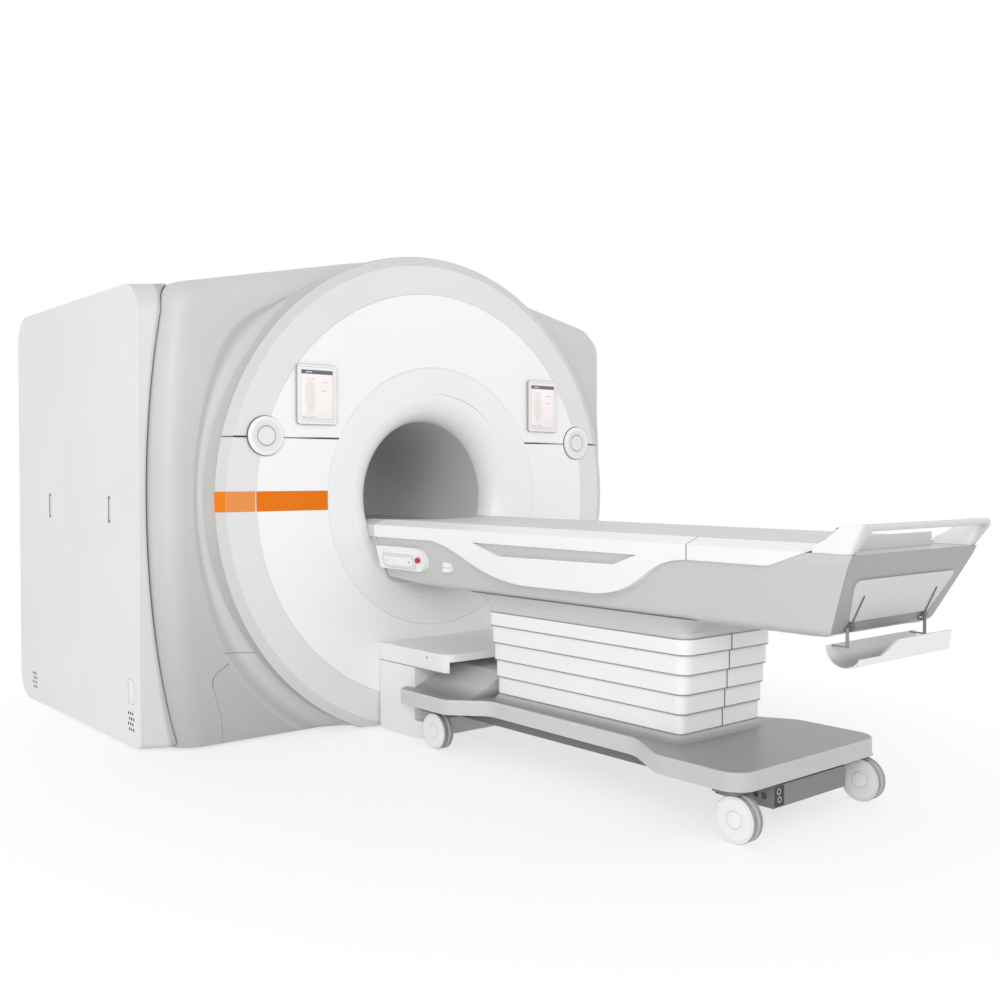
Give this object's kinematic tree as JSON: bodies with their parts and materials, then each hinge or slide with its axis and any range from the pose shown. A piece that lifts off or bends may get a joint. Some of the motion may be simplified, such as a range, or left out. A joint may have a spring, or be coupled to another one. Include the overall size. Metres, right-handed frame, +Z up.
{
  "type": "mri scanner",
  "caption": "Closed-bore MRI scanner with ring-shaped front cover and a docked, height-adjustable patient table on castors whose tabletop slides into the bore.",
  "frame": {"origin": "on the floor under the magnet's isocentre, at the middle of the four anchor holes", "axes": "+Z up, +Y along the bore from the patient table into the magnet, +X to the right seen from the table's foot end"},
  "size_m": [2.64, 4.317, 2.1428],
  "materials": {
    "white_cover": "satin",
    "bezel_white": "satin",
    "grey_cover": "satin",
    "panel_white": "satin",
    "bore_grey": "matte",
    "table_grey": "satin",
    "table_white": "satin",
    "board": "matte",
    "lift_white": "satin",
    "dark_trim": "matte",
    "orange": "satin",
    "red": "gloss",
    "display": "gloss",
    "vessel_steel": "brushed",
    "painted_steel": "satin",
    "copper": "satin",
    "resin": "matte",
    "aluminium": "satin",
    "tyre": "matte",
    "wheel_grey": "satin"
  },
  "bodies": {
    "magnet": {"vacuum_vessel": "painted_steel", "helium_vessel": "vessel_steel", "superconducting_coils": "copper", "gradient_coil": "resin", "bore_liner": "bore_grey", "body_coil": "copper", "magnet_feet": "painted_steel", "cold_head": "vessel_steel", "front_surround": "grey_cover", "access_panels": "grey_cover", "top_cover": "grey_cover", "rear_cover": "grey_cover", "side_panel_left": "panel_white", "side_panel_right": "panel_white", "bezel_ring_upper": "bezel_white", "bezel_ring_lower": "bezel_white", "face_cover_upper": "white_cover", "face_cover_lower": "white_cover", "front_funnel": "bezel_white", "cover_brackets": "aluminium", "displays": "display", "accent_stripe": "orange", "bore_floor": "bore_grey", "dock_pedestal": "grey_cover", "dock_shelf": "grey_cover"},
    "left_dial": {"dial_ring_left": "table_white"},
    "right_dial": {"dial_ring_right": "table_white"},
    "left_dial_button": {"dial_button_left": "bezel_white"},
    "right_dial_button": {"dial_button_right": "bezel_white"},
    "trolley": {"base_cover": "table_grey", "chassis": "painted_steel", "battery_box": "dark_trim", "lift_band_5": "lift_white", "column_outer": "aluminium"},
    "lift_sleeve_2": {"lift_band_2": "lift_white"},
    "lift_sleeve_3": {"lift_band_3": "lift_white"},
    "lift_sleeve_4": {"lift_band_4": "lift_white"},
    "table": {"table_hull": "table_grey", "head_frame": "table_white", "side_rail_left": "table_white", "side_rail_right": "table_white", "foot_handle": "table_white", "end_panel": "bezel_white", "console": "table_white", "table_switch": "table_white", "lift_band_1": "lift_white", "column_inner": "vessel_steel"},
    "board": {"tabletop": "board"},
    "gutter_tray": {"tray": "table_white"},
    "emergency_stop": {"stop_button": "red"},
    "jog_control": {"jog_bar": "bezel_white"},
    "fork_head_left": {"castor_fork_head_left": "aluminium"},
    "wheel_head_left": {"castor_wheel_head_left": "wheel_grey"},
    "fork_head_right": {"castor_fork_head_right": "aluminium"},
    "wheel_head_right": {"castor_wheel_head_right": "wheel_grey"},
    "fork_foot_left": {"castor_fork_foot_left": "aluminium"},
    "wheel_foot_left": {"castor_wheel_foot_left": "wheel_grey"},
    "fork_foot_right": {"castor_fork_foot_right": "aluminium"},
    "wheel_foot_right": {"castor_wheel_foot_right": "wheel_grey"}
  },
  "joints": [
    {"name": "dock_slide", "type": "slide", "parent": "magnet", "child": "trolley", "axis": [0, -1, 0], "range_m": [0, 2]},
    {"name": "table_lift", "type": "slide", "parent": "trolley", "child": "table", "axis": [0, 0, -1], "range_m": [0, 0.25]},
    {"name": "sleeve_2_slide", "type": "slide", "parent": "trolley", "child": "lift_sleeve_2", "axis": [0, 0, -1], "range_m": [0, 0.2]},
    {"name": "sleeve_3_slide", "type": "slide", "parent": "trolley", "child": "lift_sleeve_3", "axis": [0, 0, -1], "range_m": [0, 0.1325]},
    {"name": "sleeve_4_slide", "type": "slide", "parent": "trolley", "child": "lift_sleeve_4", "axis": [0, 0, -1], "range_m": [0, 0.065]},
    {"name": "tabletop_slide", "type": "slide", "parent": "table", "child": "board", "axis": [0, 1, 0], "range_m": [0, 1.5]},
    {"name": "tray_hinge", "type": "hinge", "parent": "table", "child": "gutter_tray", "pos_m": [0, -3.204, 0.683], "axis": [-1, 0, 0], "range_deg": [0, 90]},
    {"name": "left_dial_turn", "type": "hinge", "parent": "magnet", "child": "left_dial", "pos_m": [-0.889, -0.92, 1.297], "axis": [0, 1, 0], "continuous": true},
    {"name": "right_dial_turn", "type": "hinge", "parent": "magnet", "child": "right_dial", "pos_m": [0.889, -0.92, 1.297], "axis": [0, 1, 0], "continuous": true},
    {"name": "left_dial_press", "type": "slide", "parent": "magnet", "child": "left_dial_button", "axis": [0, 1, 0], "range_m": [0, 0.003], "stiffness_N_per_m": 400},
    {"name": "right_dial_press", "type": "slide", "parent": "magnet", "child": "right_dial_button", "axis": [0, 1, 0], "range_m": [0, 0.003], "stiffness_N_per_m": 400},
    {"name": "stop_press", "type": "slide", "parent": "table", "child": "emergency_stop", "axis": [1, 0, 0], "range_m": [0, 0.003], "stiffness_N_per_m": 400},
    {"name": "jog_travel", "type": "slide", "parent": "table", "child": "jog_control", "axis": [0, 1, 0], "range_m": [-0.01, 0.01], "stiffness_N_per_m": 200},
    {"name": "swivel_head_left", "type": "hinge", "parent": "trolley", "child": "fork_head_left", "pos_m": [-0.3473, -1.34, 0.15], "axis": [0, 0, 1], "continuous": true},
    {"name": "roll_head_left", "type": "hinge", "parent": "fork_head_left", "child": "wheel_head_left", "pos_m": [-0.3473, -1.37, 0.075], "axis": [1, 0, 0], "continuous": true},
    {"name": "swivel_head_right", "type": "hinge", "parent": "trolley", "child": "fork_head_right", "pos_m": [0.3473, -1.34, 0.15], "axis": [0, 0, 1], "continuous": true},
    {"name": "roll_head_right", "type": "hinge", "parent": "fork_head_right", "child": "wheel_head_right", "pos_m": [0.3473, -1.37, 0.075], "axis": [1, 0, 0], "continuous": true},
    {"name": "swivel_foot_left", "type": "hinge", "parent": "trolley", "child": "fork_foot_left", "pos_m": [-0.3473, -2.88, 0.15], "axis": [0, 0, 1], "continuous": true},
    {"name": "roll_foot_left", "type": "hinge", "parent": "fork_foot_left", "child": "wheel_foot_left", "pos_m": [-0.3473, -2.91, 0.075], "axis": [1, 0, 0], "continuous": true},
    {"name": "swivel_foot_right", "type": "hinge", "parent": "trolley", "child": "fork_foot_right", "pos_m": [0.3473, -2.88, 0.15], "axis": [0, 0, 1], "continuous": true},
    {"name": "roll_foot_right", "type": "hinge", "parent": "fork_foot_right", "child": "wheel_foot_right", "pos_m": [0.3473, -2.91, 0.075], "axis": [1, 0, 0], "continuous": true}
  ],
  "couplings": [
    {"joint": "sleeve_2_slide", "follows": "table_lift", "ratio": 0.8},
    {"joint": "sleeve_3_slide", "follows": "table_lift", "ratio": 0.53},
    {"joint": "sleeve_4_slide", "follows": "table_lift", "ratio": 0.26}
  ]
}
